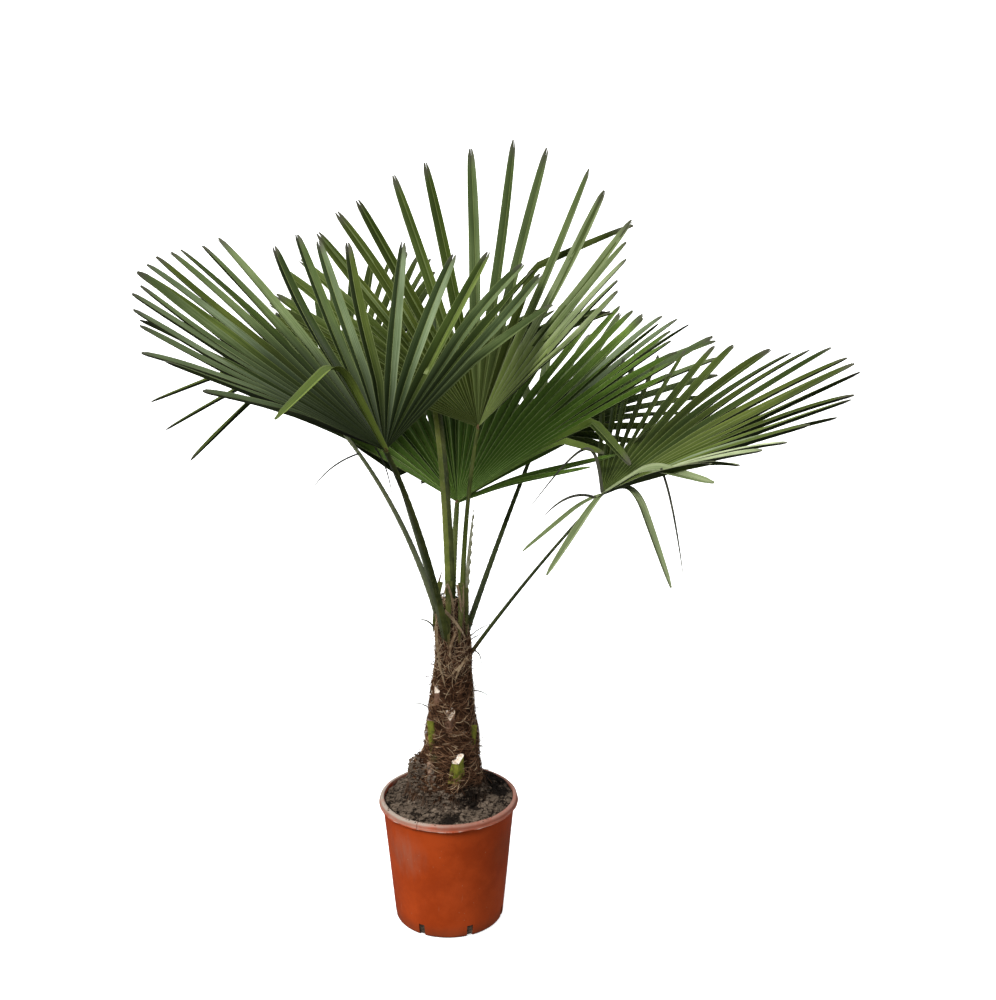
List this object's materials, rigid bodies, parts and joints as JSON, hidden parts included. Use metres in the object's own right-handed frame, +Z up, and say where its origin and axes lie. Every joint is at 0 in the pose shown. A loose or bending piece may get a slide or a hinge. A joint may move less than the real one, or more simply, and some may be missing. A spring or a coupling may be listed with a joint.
{
  "type": "potted fan palm",
  "caption": "Young fan palm with pleated fan leaves on slim arching stalks over a leaning fibre-wrapped trunk, growing in a round tapered nursery pot full of soil.",
  "frame": {"origin": "centre of the pot's flat underside", "axes": "+Z up, +X to the viewer's right and +Y away from the viewer, as the plant stands in the picture"},
  "size_m": [1.4047, 1.4054, 1.5392],
  "materials": {
    "pot_plastic": "moulded terracotta plastic, dusty and scuffed",
    "potting_soil": "dark crumbly potting soil",
    "trunk_fibre": "matted brown palm fibre over wood",
    "leaf_base": "green stub with a pale cut end",
    "dry_leaf": "dry folded leaf",
    "leaf_stalk": "smooth green stalk",
    "leaf_blade": "satin green leaf"
  },
  "bodies": {
    "root": {"pot": "pot_plastic", "soil": "potting_soil", "trunk": "trunk_fibre", "leaf_base_1": "leaf_base", "leaf_base_2": "leaf_base", "leaf_base_3": "leaf_base", "leaf_base_4": "leaf_base", "leaf_base_5": "leaf_base", "leaf_base_6": "leaf_base", "leaf_base_7": "leaf_base", "leaf_base_8": "leaf_base", "leaf_base_9": "leaf_base", "spear_leaf": "dry_leaf", "stalk_front_left": "leaf_stalk", "frond_front_left": "leaf_blade", "stalk_upright": "leaf_stalk", "frond_upright": "leaf_blade", "stalk_rear_upright": "leaf_stalk", "frond_rear_upright": "leaf_blade", "stalk_rear_low": "leaf_stalk", "frond_rear_low": "leaf_blade", "stalk_rear_right": "leaf_stalk", "frond_rear_right": "leaf_blade", "stalk_right": "leaf_stalk", "frond_right": "leaf_blade", "stalk_rear_left": "leaf_stalk", "frond_rear_left": "leaf_blade", "stalk_low_left": "leaf_stalk", "frond_low_left": "leaf_blade"}
  },
  "joints": []
}
